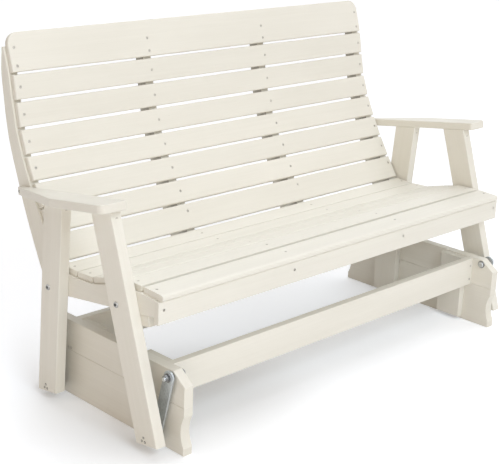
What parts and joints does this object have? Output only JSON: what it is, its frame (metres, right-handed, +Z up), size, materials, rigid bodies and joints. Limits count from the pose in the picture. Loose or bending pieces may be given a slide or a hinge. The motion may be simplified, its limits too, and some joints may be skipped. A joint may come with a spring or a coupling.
{
  "type": "glider bench",
  "caption": "Slatted garden glider bench: contoured seat and back on leaning legs, hung by flat swing links from a low panelled base so that it glides to and fro.",
  "frame": {"origin": "on the floor, under the middle of the overall width and depth", "axes": "+X to the sitter's left along the bench, +Y to the rear, +Z up"},
  "size_m": [1.718, 0.7811, 1.0562],
  "materials": {
    "lumber": "fine matte grain",
    "link_steel": "plated, satin",
    "plated_steel": "plated",
    "screw_steel": "dull",
    "bush_plastic": "moulded"
  },
  "bodies": {
    "base": {"base_screws": "screw_steel", "batten_front_left": "lumber", "batten_front_right": "lumber", "batten_rear_left": "lumber", "batten_rear_right": "lumber", "pivot_bolts": "plated_steel", "pivot_nuts": "plated_steel", "pivot_washers": "plated_steel", "side_board_lower_left": "lumber", "side_board_lower_right": "lumber", "side_board_upper_left": "lumber", "side_board_upper_right": "lumber", "stretcher_front": "lumber", "stretcher_rear": "lumber"},
    "link_front_left": {"link_front_left": "link_steel", "bushes_front_left": "bush_plastic"},
    "link_front_right": {"link_front_right": "link_steel", "bushes_front_right": "bush_plastic"},
    "link_rear_left": {"link_rear_left": "link_steel", "bushes_rear_left": "bush_plastic"},
    "link_rear_right": {"link_rear_right": "link_steel", "bushes_rear_right": "bush_plastic"},
    "seat": {"apron": "lumber", "arm_left": "lumber", "arm_right": "lumber", "arm_screws": "screw_steel", "back_rib_1": "lumber", "back_rib_2": "lumber", "back_rib_3": "lumber", "back_rib_4": "lumber", "back_screws": "screw_steel", "back_slat_1": "lumber", "back_slat_2": "lumber", "back_slat_3": "lumber", "back_slat_4": "lumber", "back_slat_5": "lumber", "back_slat_6": "lumber", "back_slat_7": "lumber", "back_top_board": "lumber", "cross_board": "lumber", "leg_bolts": "screw_steel", "leg_front_left": "lumber", "leg_front_right": "lumber", "leg_nuts": "plated_steel", "leg_rear_left": "lumber", "leg_rear_right": "lumber", "pivot_studs": "plated_steel", "plate_screws": "screw_steel", "seat_front_board": "lumber", "seat_rib_1": "lumber", "seat_rib_2": "lumber", "seat_rib_3": "lumber", "seat_rib_4": "lumber", "seat_screws": "screw_steel", "seat_slat_1": "lumber", "seat_slat_2": "lumber", "seat_slat_3": "lumber", "seat_slat_4": "lumber", "seat_slat_5": "lumber", "stud_clips": "plated_steel"}
  },
  "joints": [
    {"name": "glide", "type": "hinge", "parent": "base", "child": "link_front_left", "pos_m": [-0.745, -0.3405, 0.224], "axis": [1, 0, 0], "range_deg": [-12, 12]},
    {"name": "seat_on_front_links", "type": "hinge", "parent": "link_front_left", "child": "seat", "pos_m": [-0.745, -0.29368, 0.04296], "axis": [1, 0, 0], "range_deg": [-13.7, 13.7]},
    {"name": "front_right_swing", "type": "hinge", "parent": "base", "child": "link_front_right", "pos_m": [0.745, -0.3405, 0.224], "axis": [1, 0, 0], "range_deg": [-12.1, 12.1]},
    {"name": "rear_left_swing", "type": "hinge", "parent": "base", "child": "link_rear_left", "pos_m": [-0.745, 0.1759, 0.224], "axis": [1, 0, 0], "range_deg": [-11.7, 11.7]},
    {"name": "rear_right_swing", "type": "hinge", "parent": "base", "child": "link_rear_right", "pos_m": [0.745, 0.1759, 0.224], "axis": [1, 0, 0], "range_deg": [-11.7, 11.7]}
  ],
  "couplings": [
    {"joint": "seat_on_front_links", "follows": "glide", "ratio": -1.138},
    {"joint": "front_right_swing", "follows": "glide", "ratio": 1},
    {"joint": "rear_left_swing", "follows": "glide", "ratio": 0.967},
    {"joint": "rear_right_swing", "follows": "glide", "ratio": 0.967}
  ]
}
